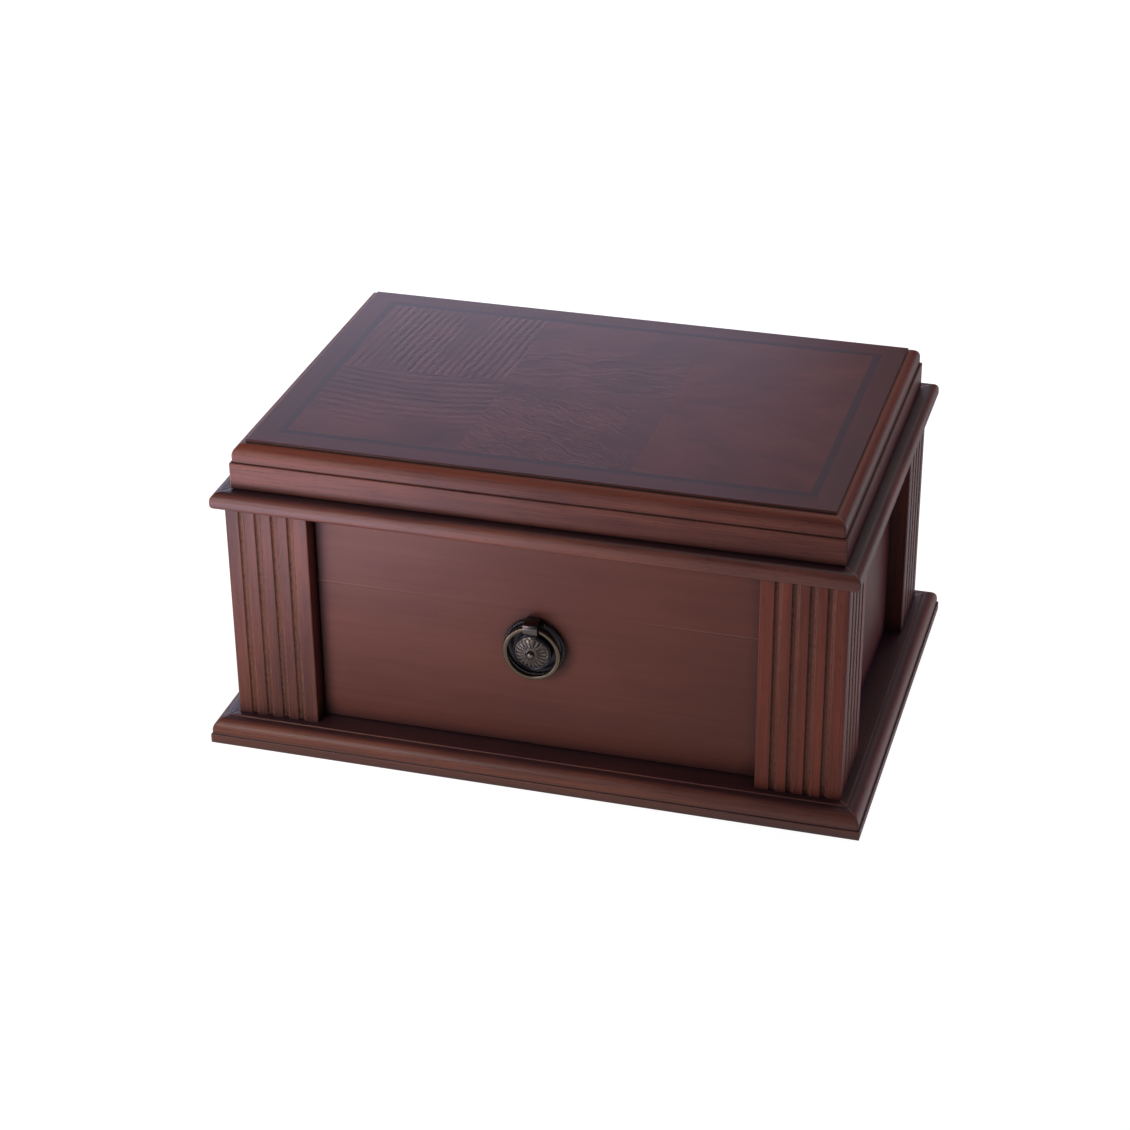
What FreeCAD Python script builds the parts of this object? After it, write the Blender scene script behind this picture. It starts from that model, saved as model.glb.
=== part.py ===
import FreeCAD, Part
import math
import os

# A stained wooden chest: fluted corner posts on a moulded base, a drawer that fills the front,
# a shallow tray above it and a veneered lid hinged along the back.
# Millimetres. Origin at the middle of the underside, +X right, +Y back, +Z up; the front faces -Y.

# Body, measured over the faces of the corner posts
body_width = 402.0
body_depth = 272.1
post_width = 55.3
post_height = 151.5
panel_recess = 12.0
panel_thickness = 11.5
post_arris = 1.5
edge_round = 0.6

# Flutes of the corner posts
flute_count = 4
flute_pitch = 10.9
flute_width = 4.7
flute_depth = 2.0

# Tongues that hold the panels in the posts
tongue_length = 5.0
tongue_thickness = 5.0

# Base moulding, from the floor up
base_projection = 15.0
base_fillet_height = 6.4
base_fillet_step = 1.0
base_straight = 2.9
base_ovolo_radius = 7.7
base_quirk = 1.2
ledge_step = 0.8
base_width = 45.0
bottom_thickness = 8.0
bottom_bearing = 10.0

# Waist moulding
waist_height = 11.5
waist_projection = 6.9
waist_lower_radius = 3.6
waist_upper_radius = 5.5

# Lid
lid_gap = 0.3
lid_inset = 3.9
band_height = 17.7
band_step = 1.5
lid_straight = 4.6
lid_ovolo_radius = 6.9
lid_fillet = 0.3
lid_rail_width = 28.0
top_proud = 2.0
core_thickness = 9.0

# Veneers of the lid's top
veneer_thickness = 0.8
border_width = 15.0
inlay_width = 5.0
field_columns = 3
field_rows = 2

# Tray under the lid
tray_depth = 54.6
tray_floor_thickness = 6.0
apron_thickness = 10.0
apron_drop = 6.0
apron_groove = 4.0
cleat_size = 10.0
lining_thickness = 1.0
lining_margin = 0.5

# Drawer
drawer_gap = 0.9
drawer_foot_gap = 0.5
drawer_lift = 0.3
drawer_stop_gap = 0.3
drawer_head_gap = 3.0
drawer_rear_gap = 20.8
drawer_board = 8.0
drawer_bottom_thickness = 4.0
drawer_bottom_height = 6.0
drawer_groove = 4.0
guide_width = 20.0
guide_height = 18.0
guide_gap = 0.4
front_screw_inset = 30.0
front_screw_edge = 15.0
front_screw_length = 16.0

# Ring pull, a little below the middle of the front
pull_drop = 2.1
plate_radius = 20.5
plate_thickness = 1.2
plate_rim_width = 2.8
plate_rim_height = 2.6
plate_rim_round = 1.0
rosette_foot_radius = 9.5
rosette_radius = 12.7
rosette_rim_low = 5.8
rosette_rim_high = 8.4
petal_radius = 10.9
petal_height = 9.0
boss_radius = 3.2
boss_base_height = 10.4
boss_height = 13.0
ring_radius = 17.45
ring_wire_radius = 1.6
ring_stand_off = 8.0
ring_drop = 0.5
strap_width = 9.6
strap_bore_radius = 2.7
strap_wall = 1.5
strap_rise = 3.2
strap_foot_height = 5.8
pull_bolt_radius = 2.0
pull_bolt_reach = 6.0
pull_head_radius = 4.0
pull_head_height = 2.6
washer_radius = 5.5
washer_thickness = 1.0

# Hinges
hinge_end_distance = 81.0
hinge_length = 50.0
leaf_width = 16.0
leaf_thickness = 1.2
barrel_radius = 2.5
barrel_clearance = 0.3
pin_radius = 1.25
pin_clearance = 0.05
knuckle_count = 5
knuckle_gap = 0.2
hinge_screw_count = 3
hinge_screw_pitch = 16.0
hinge_screw_inset = 6.0
hinge_screw_length = 9.0

# Countersunk wood screws
screw_head_radius = 2.6
screw_head_depth = 1.0
screw_shank_radius = 1.2

# Spare length of cutting shapes, and the distance at which points count as one
cut_margin = 1.0
same_place = 1e-6

# Levels and half sizes that follow from the values above
half_width = body_width / 2
half_depth = body_depth / 2
z_ovolo_top = base_fillet_height + base_straight + base_ovolo_radius
z_ledge = z_ovolo_top + ledge_step
z_post_top = z_ledge + post_height
z_waist_top = z_post_top + waist_height
z_lid = z_waist_top + lid_gap
z_band_top = z_lid + band_height
z_rail_top = z_band_top + lid_straight + lid_ovolo_radius
z_top = z_rail_top + top_proud
z_veneer = z_top - veneer_thickness
z_seat = z_veneer - core_thickness
inner = -(panel_recess + panel_thickness)
lid_step_face = -lid_inset - band_step
top_edge = lid_step_face - lid_ovolo_radius - lid_fillet
inside_x = half_width + inner
inside_y = half_depth + inner

z_tray = z_waist_top - tray_depth
z_tray_under = z_tray - tray_floor_thickness
z_apron = z_tray_under - apron_drop

SIDES = {"front": (0, -1), "back": (0, 1), "left": (-1, 0), "right": (1, 0)}
LEFT_RIGHT = {"left": -1, "right": 1}
FRONT_BACK = {"front": -1, "back": 1}
X_AXIS = FreeCAD.Vector(1, 0, 0)
Y_AXIS = FreeCAD.Vector(0, 1, 0)
Z_AXIS = FreeCAD.Vector(0, 0, 1)


def point(x, y, z):
    return FreeCAD.Vector(x, y, z)


def save(name, *solids):
    """Writes one node: a single solid, or a group of separate ones."""
    shape = solids[0] if len(solids) == 1 else Part.makeCompound(list(solids))
    shape.exportStep("parts/" + name + ".step")


def box(x_range, y_range, z_range):
    low = point(min(x_range), min(y_range), min(z_range))
    size = [max(r) - min(r) for r in (x_range, y_range, z_range)]
    return Part.makeBox(size[0], size[1], size[2], low)


def outline(corners, place):
    """A face from corners (u, v, rounding), set into space by place(u, v)."""
    starts, middles, ends = [], [], []
    count = len(corners)
    for i, (u, v, rounding) in enumerate(corners):
        here = point(u, v, 0)
        before = point(corners[i - 1][0], corners[i - 1][1], 0) - here
        after = point(corners[(i + 1) % count][0], corners[(i + 1) % count][1], 0) - here
        before.normalize()
        after.normalize()
        half_angle = before.getAngle(after) / 2
        reach = rounding / math.tan(half_angle)
        starts.append(here + before * reach)
        ends.append(here + after * reach)
        bisector = before + after
        if rounding:
            bisector.normalize()
        middles.append(here + bisector * (rounding / math.sin(half_angle) - rounding))
    edges = []
    for i in range(count):
        if corners[i][2]:
            arc = [place(p.x, p.y) for p in (starts[i], middles[i], ends[i])]
            edges.append(Part.Arc(*arc).toShape())
        following = starts[(i + 1) % count]
        if ends[i].distanceToPoint(following) > same_place:
            line = [place(p.x, p.y) for p in (ends[i], following)]
            edges.append(Part.LineSegment(*line).toShape())
    return Part.Face(Part.Wire(edges))


def plan_prism(corners, z_low, z_high):
    face = outline(corners, lambda x, y: point(x, y, z_low))
    return face.extrude(Z_AXIS * (z_high - z_low))


def mitred_run(side, profile):
    """One length of moulding; the profile is (outward from the post faces, height, rounding)."""
    out_x, out_y = SIDES[side]
    out = point(out_x, out_y, 0)
    along = point(-out_y, out_x, 0)
    reach = half_width if out_x else half_depth
    other = half_depth if out_x else half_width
    far = max(n for n, z, r in profile) + cut_margin
    near = min(n for n, z, r in profile) - cut_margin
    start = along * -(other + far)
    face = outline(profile, lambda n, z: out * (reach + n) + start + Z_AXIS * z)
    run = face.extrude(along * 2 * (other + far))
    turns = ((far, -1), (far, 1), (near, 1), (near, -1))
    corners = [out * (reach + n) + along * s * (other + n) for n, s in turns]
    low = min(z for n, z, r in profile) - cut_margin
    high = max(z for n, z, r in profile) + cut_margin
    return run.common(plan_prism([(c.x, c.y, 0) for c in corners], low, high))


def strip(outer, width, z_low, z_high, rounding=0):
    """Rectangular profile whose outer top edge may be eased."""
    back = outer - width
    return [(back, z_low, 0), (outer, z_low, 0), (outer, z_high, rounding), (back, z_high, 0)]


def wood_screw(at, direction, length):
    head = Part.makeCone(screw_head_radius, screw_shank_radius, screw_head_depth, at, direction)
    shank = Part.makeCylinder(screw_shank_radius, length, at, direction)
    return head.fuse(shank).removeSplitter()


def bored(solid, cutters):
    for cutter in cutters:
        solid = solid.cut(cutter)
    return solid


def turned(profile, front, centre_z):
    """A piece turned about an axis that runs to the front; the profile is (radius, height, rounding)."""
    face = outline(profile, lambda r, d: point(r, front - d, centre_z))
    return face.revolve(point(0, front, centre_z), Y_AXIS, 360)


# Base: a wide mitred frame with a rebate for the bottom board
def base_frame():
    rebate_edge = base_projection - base_width + bottom_bearing
    rebate_floor = z_ledge - bottom_thickness
    ovolo_face = base_projection - base_fillet_step
    ledge_edge = ovolo_face - base_ovolo_radius - base_quirk
    profile = [
        (base_projection - base_width, 0, 0),
        (base_projection, 0, edge_round),
        (base_projection, base_fillet_height, edge_round / 2),
        (ovolo_face, base_fillet_height, 0),
        (ovolo_face, z_ovolo_top, base_ovolo_radius),
        (ledge_edge, z_ovolo_top, 0),
        (ledge_edge, z_ledge, edge_round),
        (rebate_edge, z_ledge, 0),
        (rebate_edge, rebate_floor, 0),
        (base_projection - base_width, rebate_floor, 0),
    ]
    for side in SIDES:
        save("base_moulding_" + side, mitred_run(side, profile))
    board_x = half_width + rebate_edge
    board_y = half_depth + rebate_edge
    save("bottom_board", box((-board_x, board_x), (-board_y, board_y), (rebate_floor, z_ledge)))


def tongue_span():
    """Depth range of the tongues and grooves, behind the post faces."""
    middle = panel_recess + panel_thickness / 2
    return middle - tongue_thickness / 2, middle + tongue_thickness / 2


def flute_cutters(sign_x, sign_y):
    radius = (flute_width ** 2 / 4 + flute_depth ** 2) / (2 * flute_depth)
    first = (post_width - (flute_count - 1) * flute_pitch) / 2
    outside = radius - flute_depth
    cutters = []
    for i in range(flute_count):
        along = first + i * flute_pitch
        front_at = point(sign_x * (half_width - along), sign_y * (half_depth + outside), z_ledge)
        side_at = point(sign_x * (half_width + outside), sign_y * (half_depth - along), z_ledge)
        cutters.append(Part.makeCylinder(radius, post_height, front_at))
        cutters.append(Part.makeCylinder(radius, post_height, side_at))
    return cutters


def corner_post(sign_x, sign_y):
    """An L in plan, fluted outside, grooved where a fixed panel meets it."""
    leg = -inner
    plan = [
        (0, 0, post_arris),
        (post_width, 0, edge_round),
        (post_width, leg, edge_round),
        (leg, leg, 0),
        (leg, post_width, edge_round),
        (0, post_width, edge_round),
    ]
    corners = [(sign_x * (half_width - u), sign_y * (half_depth - v), r) for u, v, r in plan]
    post = plan_prism(corners, z_ledge, z_post_top)
    near, far = tongue_span()
    heights = (z_ledge, z_post_top)
    groove = (post_width - tongue_length, post_width)
    cutters = flute_cutters(sign_x, sign_y)
    side_x = [sign_x * (half_width - d) for d in (near, far)]
    side_y = [sign_y * (half_depth - d) for d in groove]
    cutters.append(box(side_x, side_y, heights))
    if sign_y > 0:
        back_x = [sign_x * (half_width - d) for d in groove]
        back_y = [sign_y * (half_depth - d) for d in (near, far)]
        cutters.append(box(back_x, back_y, heights))
    return bored(post, cutters)


def fixed_panel(side):
    """A flat panel between two posts, with a tongue along each upright edge."""
    out_x, out_y = SIDES[side]
    reach = half_width if out_x else half_depth
    half_span = (half_depth if out_x else half_width) - post_width
    near, far = tongue_span()
    ranges = [
        (half_span, panel_recess, panel_recess + panel_thickness),
        (half_span + tongue_length, near, far),
    ]
    slabs = []
    for half_length, face, back in ranges:
        across = sorted((reach - face, reach - back))
        span = (-half_length, half_length)
        if out_x:
            slabs.append(box([out_x * d for d in across], span, (z_ledge, z_post_top)))
        else:
            slabs.append(box(span, [out_y * d for d in across], (z_ledge, z_post_top)))
    return slabs[0].fuse(slabs[1]).removeSplitter()


def carcass():
    for front_back, sign_y in FRONT_BACK.items():
        for left_right, sign_x in LEFT_RIGHT.items():
            save("corner_post_" + front_back + "_" + left_right, corner_post(sign_x, sign_y))
    for side in LEFT_RIGHT:
        save("side_panel_" + side, fixed_panel(side))
    save("back_panel", fixed_panel("back"))


# Hinges: two butt hinges let in flush at the joint between the waist and the lid
hinge_y = half_depth - lid_inset + barrel_radius + barrel_clearance
hinge_z = z_waist_top + lid_gap / 2


def barrel(centre_x, radius, first, last, overlap):
    """Cylinder over knuckles first to last, longer by overlap at each end."""
    knuckle = hinge_length / knuckle_count
    low = centre_x - hinge_length / 2 + first * knuckle - overlap
    high = centre_x - hinge_length / 2 + (last + 1) * knuckle + overlap
    return Part.makeCylinder(radius, high - low, point(low, hinge_y, hinge_z), X_AXIS)


def leaf_plate(centre_x, z_low):
    ends = (centre_x - hinge_length / 2, centre_x + hinge_length / 2)
    return box(ends, (hinge_y - leaf_width, hinge_y), (z_low, z_low + leaf_thickness))


def leaf_screws(centre_x, z_face, direction):
    offsets = [(i - (hinge_screw_count - 1) / 2) * hinge_screw_pitch for i in range(hinge_screw_count)]
    y = hinge_y - leaf_width + hinge_screw_inset
    return [wood_screw(point(centre_x + d, y, z_face), direction, hinge_screw_length) for d in offsets]


def hinge_leaf(centre_x, z_low, own_knuckles, bore_radius, screws):
    leaf = leaf_plate(centre_x, z_low)
    for k in range(knuckle_count):
        if k in own_knuckles:
            leaf = leaf.fuse(barrel(centre_x, barrel_radius, k, k, -knuckle_gap / 2))
    for k in range(knuckle_count):
        if k not in own_knuckles:
            leaf = leaf.cut(barrel(centre_x, barrel_radius + barrel_clearance, k, k, knuckle_gap / 2))
    leaf = leaf.cut(barrel(centre_x, bore_radius, 0, knuckle_count - 1, cut_margin))
    return bored(leaf.removeSplitter(), screws)


def hinges():
    """Makes the hinge nodes and gives back what they cut out of the waist and of the lid."""
    body_knuckles = range(0, knuckle_count, 2)
    lid_knuckles = range(1, knuckle_count, 2)
    body_screws, lid_screws, waist_cuts, lid_cuts = [], [], [], []
    for side, sign in LEFT_RIGHT.items():
        x = sign * (half_width - hinge_end_distance)
        low_screws = leaf_screws(x, z_waist_top, -Z_AXIS)
        high_screws = leaf_screws(x, z_lid, Z_AXIS)
        low_leaf_z = z_waist_top - leaf_thickness
        save("hinge_leaf_body_" + side, hinge_leaf(x, low_leaf_z, body_knuckles, pin_radius, low_screws))
        running_bore = pin_radius + pin_clearance
        save("hinge_leaf_lid_" + side, hinge_leaf(x, z_lid, lid_knuckles, running_bore, high_screws))
        save("hinge_pin_" + side, barrel(x, pin_radius, 0, knuckle_count - 1, -knuckle_gap / 2))
        groove = barrel(x, barrel_radius + barrel_clearance, 0, knuckle_count - 1, barrel_clearance)
        waist_cuts += [leaf_plate(x, low_leaf_z), groove] + low_screws
        lid_cuts += [leaf_plate(x, z_lid)] + high_screws
        body_screws += low_screws
        lid_screws += high_screws
    save("hinge_screws_body", *body_screws)
    save("hinge_screws_lid", *lid_screws)
    return waist_cuts, lid_cuts


def waist(cuts):
    profile = [
        (inner, z_post_top, 0),
        (waist_projection, z_post_top, waist_lower_radius),
        (waist_projection, z_waist_top, waist_upper_radius),
        (inner, z_waist_top, 0),
    ]
    for side in SIDES:
        run = mitred_run(side, profile)
        save("waist_moulding_" + side, bored(run, cuts) if side == "back" else run)


# Lid: mitred rails, a core board let into their rebate, and veneers on top
def lid_rails(cuts):
    rail_inner = -lid_inset - lid_rail_width
    profile = [
        (rail_inner, z_lid, 0),
        (-lid_inset, z_lid, edge_round),
        (-lid_inset, z_band_top, edge_round),
        (lid_step_face, z_band_top, 0),
        (lid_step_face, z_rail_top, lid_ovolo_radius),
        (top_edge, z_rail_top, 0),
        (top_edge, z_seat, 0),
        (rail_inner, z_seat, 0),
    ]
    for side in SIDES:
        run = mitred_run(side, profile)
        save("lid_rail_" + side, bored(run, cuts) if side == "back" else run)


def lid_top():
    edge_x = half_width + top_edge
    edge_y = half_depth + top_edge
    save("lid_core_board", box((-edge_x, edge_x), (-edge_y, edge_y), (z_seat, z_veneer)))
    border = strip(top_edge, border_width, z_veneer, z_top, edge_round)
    save("border_veneer", *[mitred_run(side, border) for side in SIDES])
    inlay = strip(top_edge - border_width, inlay_width, z_veneer, z_top)
    save("inlay_lines", *[mitred_run(side, inlay) for side in SIDES])
    field_x = edge_x - border_width - inlay_width
    field_y = edge_y - border_width - inlay_width
    sheet_x = 2 * field_x / field_columns
    sheet_y = 2 * field_y / field_rows
    for row in range(field_rows):
        for column in range(field_columns):
            low_x = -field_x + column * sheet_x
            low_y = -field_y + row * sheet_y
            sheet = box((low_x, low_x + sheet_x), (low_y, low_y + sheet_y), (z_veneer, z_top))
            save("field_veneer_row%d_col%d" % (row + 1, column + 1), sheet)


# Tray under the lid: an apron behind the drawer front, a floor on cleats, a thin lining
def tray():
    apron_front = -inside_y
    apron_back = apron_front + apron_thickness
    apron = box((-inside_x, inside_x), (apron_front, apron_back), (z_apron, z_waist_top))
    floor_front = apron_back - apron_groove
    floor = box((-inside_x, inside_x), (floor_front, inside_y), (z_tray_under, z_tray))
    save("tray_apron", apron.cut(floor))
    save("tray_floor", floor)
    for side, sign in LEFT_RIGHT.items():
        across = (sign * (inside_x - cleat_size), sign * inside_x)
        heights = (z_tray_under - cleat_size, z_tray_under)
        save("tray_cleat_" + side, box(across, (apron_back, inside_y), heights))
    lining_x = inside_x - lining_margin
    lining_y = (apron_back + lining_margin, inside_y - lining_margin)
    save("tray_lining", box((-lining_x, lining_x), lining_y, (z_tray, z_tray + lining_thickness)))


# Drawer: a four-sided box behind a full-height front
opening_half = half_width - post_width
front_half = opening_half - drawer_gap
front_face = -(half_depth - panel_recess)
front_back = -inside_y - drawer_stop_gap
pull_z = z_ledge + post_height / 2 - pull_drop
box_low = z_ledge + drawer_lift
box_high = z_apron - drawer_head_gap
inner_front_back = front_back + drawer_board
drawer_end = inside_y - drawer_rear_gap


def pull_bolt():
    """The bolt that draws the pull against the front, its head inside the drawer."""
    tip = front_face - plate_thickness - pull_bolt_reach
    head_seat = inner_front_back + washer_thickness
    shank = Part.makeCylinder(pull_bolt_radius, head_seat - tip, point(0, tip, pull_z), Y_AXIS)
    head = Part.makeCylinder(pull_head_radius, pull_head_height, point(0, head_seat, pull_z), Y_AXIS)
    return shank.fuse(head).removeSplitter()


def front_screws():
    heights = (box_low + front_screw_edge, box_high - front_screw_edge)
    across = front_half - front_screw_inset
    return [wood_screw(point(s * across, inner_front_back, z), -Y_AXIS, front_screw_length)
            for s in (-1, 1) for z in heights]


def drawer():
    bolt = pull_bolt()
    screws = front_screws()
    heights = (box_low, box_high)
    side_inner = front_half - drawer_board
    bottom_low = box_low + drawer_bottom_height
    bottom_high = bottom_low + drawer_bottom_thickness
    bottom = box(
        (-side_inner - drawer_groove, side_inner + drawer_groove),
        (inner_front_back - drawer_groove, drawer_end - drawer_board + drawer_groove),
        (bottom_low, bottom_high),
    )
    front_low = z_ledge + drawer_foot_gap
    front_high = z_post_top - drawer_gap
    eased = [(-front_half, front_low), (front_half, front_low),
             (front_half, front_high), (-front_half, front_high)]
    face = outline([(x, z, edge_round) for x, z in eased], lambda x, z: point(x, front_face, z))
    front = face.extrude(Y_AXIS * (front_back - front_face))
    rim = [e for e in front.Edges if abs(e.CenterOfMass.y - front_face) < same_place]
    front = front.makeFillet(edge_round / 2, rim)
    save("drawer_front", bored(front, [bolt] + screws))
    inner_front = box((-side_inner, side_inner), (front_back, inner_front_back), heights)
    save("drawer_inner_front", bored(inner_front, [bottom, bolt] + screws))
    for side, sign in LEFT_RIGHT.items():
        board = box((sign * side_inner, sign * front_half), (front_back, drawer_end), heights)
        save("drawer_side_" + side, board.cut(bottom))
    back = box((-side_inner, side_inner), (drawer_end - drawer_board, drawer_end), heights)
    save("drawer_back", back.cut(bottom))
    save("drawer_bottom", bottom)
    lining_x = side_inner - lining_margin
    lining_y = (inner_front_back + lining_margin, drawer_end - drawer_board - lining_margin)
    save("drawer_lining", box((-lining_x, lining_x), lining_y, (bottom_high, bottom_high + lining_thickness)))
    save("drawer_screws", *screws)
    save("pull_bolt", bolt)
    washer_at = point(0, inner_front_back, pull_z)
    washer = Part.makeCylinder(washer_radius, washer_thickness, washer_at, Y_AXIS)
    save("pull_washer", washer.cut(bolt))
    for side, sign in LEFT_RIGHT.items():
        across = [sign * (front_half + guide_gap + d) for d in (0, guide_width)]
        save("drawer_guide_" + side, box(across, (-inside_y, inside_y), (z_ledge, z_ledge + guide_height)))
    return bolt


# Ring pull: backplate, raised rosette, strap and ring
def ring_pull(bolt):
    z = pull_z
    ring_z = z - ring_drop
    loop_z = ring_z + ring_radius
    loop_y = front_face - ring_stand_off
    loop_radius = strap_bore_radius + strap_wall

    def strap_place(d, height):
        return point(-strap_width / 2, front_face - d, loop_z + height)

    foot_low = loop_radius - strap_rise
    tail = [
        (0, foot_low, 0),
        (0, foot_low + strap_foot_height, edge_round),
        (ring_stand_off, loop_radius, 0),
        (ring_stand_off, foot_low, 0),
    ]
    across = X_AXIS * strap_width
    start = point(-strap_width / 2, loop_y, loop_z)
    loop = Part.makeCylinder(loop_radius, strap_width, start, X_AXIS)
    bore = Part.makeCylinder(strap_bore_radius, strap_width, start, X_AXIS)
    strap = outline(tail, strap_place).extrude(across).fuse(loop).cut(bore).removeSplitter()
    save("pull_strap", strap)

    rim_inner = plate_radius - plate_rim_width
    plate = turned([
        (0, 0, 0),
        (plate_radius, 0, 0),
        (plate_radius, plate_rim_height, plate_rim_round),
        (rim_inner, plate_rim_height, plate_rim_round),
        (rim_inner, plate_thickness, 0),
        (0, plate_thickness, 0),
    ], front_face, z)
    save("pull_backplate", bored(plate, [bolt, strap]))

    rosette = turned([
        (0, plate_thickness, 0),
        (rosette_foot_radius, plate_thickness, 0),
        (rosette_radius, rosette_rim_low, edge_round),
        (rosette_radius, rosette_rim_high, edge_round),
        (petal_radius, petal_height, 0),
        (boss_radius, boss_base_height, 0),
        (boss_radius, boss_height, boss_radius / 2),
        (0, boss_height, 0),
    ], front_face, z)
    save("pull_rosette", rosette.cut(bolt))
    save("pull_ring", Part.makeTorus(ring_radius, ring_wire_radius, point(0, loop_y, ring_z), Y_AXIS))


os.makedirs("parts", exist_ok=True)
base_frame()
carcass()
waist_cuts, lid_cuts = hinges()
waist(waist_cuts)
lid_rails(lid_cuts)
lid_top()
tray()
ring_pull(drawer())
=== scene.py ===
import math

import bmesh
import bpy
from mathutils import Matrix, Vector


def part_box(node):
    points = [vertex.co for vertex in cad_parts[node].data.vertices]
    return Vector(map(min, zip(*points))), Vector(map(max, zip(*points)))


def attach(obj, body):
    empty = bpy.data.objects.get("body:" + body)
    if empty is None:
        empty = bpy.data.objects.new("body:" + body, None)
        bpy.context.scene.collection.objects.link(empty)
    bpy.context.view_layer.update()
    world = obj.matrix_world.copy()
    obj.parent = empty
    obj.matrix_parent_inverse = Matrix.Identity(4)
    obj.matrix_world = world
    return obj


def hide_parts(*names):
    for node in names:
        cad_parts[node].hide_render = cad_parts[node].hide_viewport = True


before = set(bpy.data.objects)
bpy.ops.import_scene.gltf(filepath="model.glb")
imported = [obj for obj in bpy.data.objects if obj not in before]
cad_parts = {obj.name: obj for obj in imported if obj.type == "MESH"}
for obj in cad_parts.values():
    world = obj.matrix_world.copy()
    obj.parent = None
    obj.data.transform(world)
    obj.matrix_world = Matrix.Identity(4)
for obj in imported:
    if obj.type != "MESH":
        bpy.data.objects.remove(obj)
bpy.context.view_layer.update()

# A stained wooden chest with a veneered lid, fluted corner posts, a drawer and one antique ring pull.
# Metres, in the chest's own frame: +X right, +Y back, +Z up, the front faces -Y. Sizes of patterns and of the
# pull's shapes are given in mm.
MM = 0.001


def tone(code):
    """An sRGB hex colour as linear light."""
    channels = [int(code[i:i + 2], 16) / 255 for i in (1, 3, 5)]
    linear = [c / 12.92 if c <= 0.04045 else ((c + 0.055) / 1.055) ** 2.4 for c in channels]
    return (*linear, 1.0)


def add(tree, kind, inputs, out=0, **settings):
    """Adds a node with its settings, feeds its sockets with values or outputs, and gives back one output."""
    node = tree.nodes.new("ShaderNode" + kind)
    for name, value in settings.items():
        setattr(node, name, value)
    for socket, value in inputs.items():
        if isinstance(value, bpy.types.NodeSocket):
            tree.links.new(value, node.inputs[socket])
        else:
            node.inputs[socket].default_value = value
    if node.outputs:
        return node.outputs[out]


# Sockets of the nodes that mix two colours, mix two places and map a range
SHARE, UNDER, OVER, MIXED = 0, 6, 7, 2
FIRST_PLACE, OTHER_PLACE, MIXED_PLACE = 4, 5, 1
VALUE, FROM_LOW, FROM_HIGH, TO_LOW, TO_HIGH = 0, 1, 2, 3, 4
COLOUR = {"data_type": "RGBA"}
DARKEN = {"data_type": "RGBA", "blend_type": "MULTIPLY"}
SOFT_STEP = {"interpolation_type": "SMOOTHSTEP"}


def new_finish(name):
    """An empty material, its node tree, and the place on the piece that its patterns read."""
    material = bpy.data.materials.new(name)
    material.use_nodes = True
    tree = material.node_tree
    tree.nodes.clear()
    return material, tree, add(tree, "TexCoord", {}, "Object")


def finish_with(tree, inputs):
    """Ends a material with its shader."""
    shader = add(tree, "BsdfPrincipled", inputs)
    add(tree, "OutputMaterial", {"Surface": shader})


# How far apart the pieces lie in the noise, and how much its finer layers count
PIECE_STEP, GRAIN_ROUGHNESS = 37.0, 0.55


def grain(tree, place, size, detail):
    """Cloudy noise drawn out to a size (x, y, z) in mm, different on each piece."""
    piece = add(tree, "ObjectInfo", {}, "Random")
    own = add(tree, "Math", {0: piece, 1: PIECE_STEP}, operation="MULTIPLY")
    at = add(tree, "Mapping", {"Vector": place, "Scale": [1 / (length * MM) for length in size]})
    return add(tree, "TexNoise", {"Vector": at, "W": own, "Scale": 1.0, "Detail": detail,
                                  "Roughness": GRAIN_ROUGHNESS}, "Fac", noise_dimensions="4D")


def with_grain(axis, length, width):
    """Size (x, y, z) of a streak that is so long with the grain and so wide across it."""
    return [length if a == axis else width for a in "XYZ"]


def weigh(tree, *parts):
    """Adds up patterns, given as (pattern, weight)."""
    total = 0.0
    for pattern, weight in parts:
        total = add(tree, "Math", {0: pattern, 1: weight, 2: total}, operation="MULTIPLY_ADD")
    return total


# Tilt at which a surface counts as seen edge on, and the sheen left there
EDGE_ON, EDGE_ON_SHEEN = 0.85, 0.03


def satin(tree, fade, sheen):
    """Sheen of satin lacquer, which goes down from the tilt where it fades and has no glare edge on."""
    tilt = add(tree, "LayerWeight", {}, "Facing")
    return add(tree, "MapRange", {VALUE: tilt, FROM_LOW: fade, FROM_HIGH: EDGE_ON, TO_LOW: sheen,
                                  TO_HIGH: EDGE_ON_SHEEN})


# Stained hardwood, sanded and sprayed with satin lacquer: a red-brown stain whose streaks and short dark
# pores follow the grain, painted shade that darkens corners and quirks, and lighter wood rubbed through on
# the arrises, which also paints highlight lines along them
FIBRE, STREAK, CLOUD, PORE = (40, 0.9), (190, 7), (90, 45), (7, 0.55)
# The dark corner tone is painted shade; the rubbed tone is worn wood that also paints highlight lines
PORE_TONE, CORNER_SHADE_TONE, RUBBED_AND_HIGHLIGHT_TONE = "#5A3A36", "#2A1E22", "#A87E6C"
CORNER_REACH, QUIRK_REACH, ARRIS_RADIUS = 14, 4, 1.4
WOOD_DULLNESS, VENEER_DULLNESS, DULLNESS_CHANGE = 0.43, 0.34, 0.05
WOOD_FADE, VENEER_FADE = 0.55, 0.6
WOOD_RELIEF, VENEER_RELIEF = 0.2, 0.22
# Rays that look for corners, quirks and arrises
SHADE_SAMPLES = 8


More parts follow.
